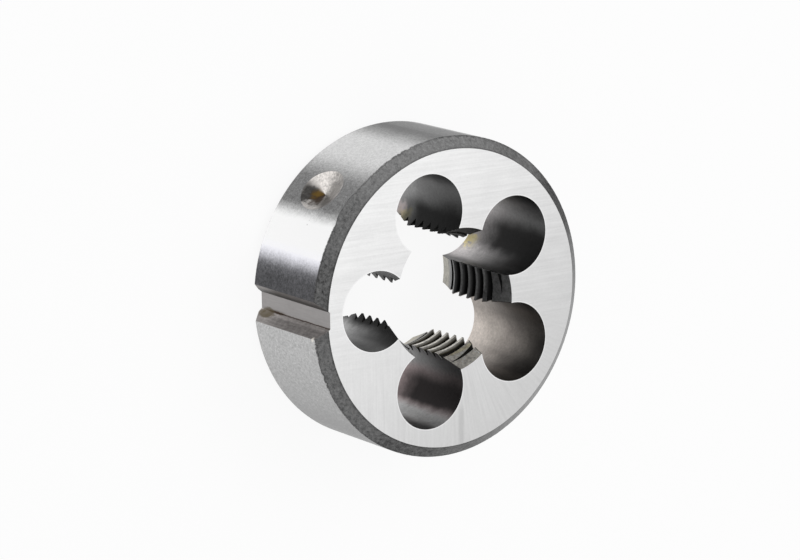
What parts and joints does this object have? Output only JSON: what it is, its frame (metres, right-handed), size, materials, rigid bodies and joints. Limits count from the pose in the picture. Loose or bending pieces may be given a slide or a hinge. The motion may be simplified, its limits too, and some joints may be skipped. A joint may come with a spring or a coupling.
{
  "type": "round threading die",
  "caption": "Round solid threading die for cutting an outside thread on a rod, with chip holes between threaded lands, an adjusting groove and conical screw seats in its rim.",
  "frame": {"origin": "on the thread axis, in the plane of the back face that the die lies on, at the centre of its footprint", "axes": "+Z along the thread axis, towards the face that starts the thread; -Y through the clearance hole behind the adjusting groove"},
  "size_m": [0.038, 0.0379, 0.014],
  "materials": {
    "tool_steel": "ground faces and rim, darker in the holes and on the chamfers"
  },
  "bodies": {
    "root": {"die_body": "tool_steel"}
  },
  "joints": []
}
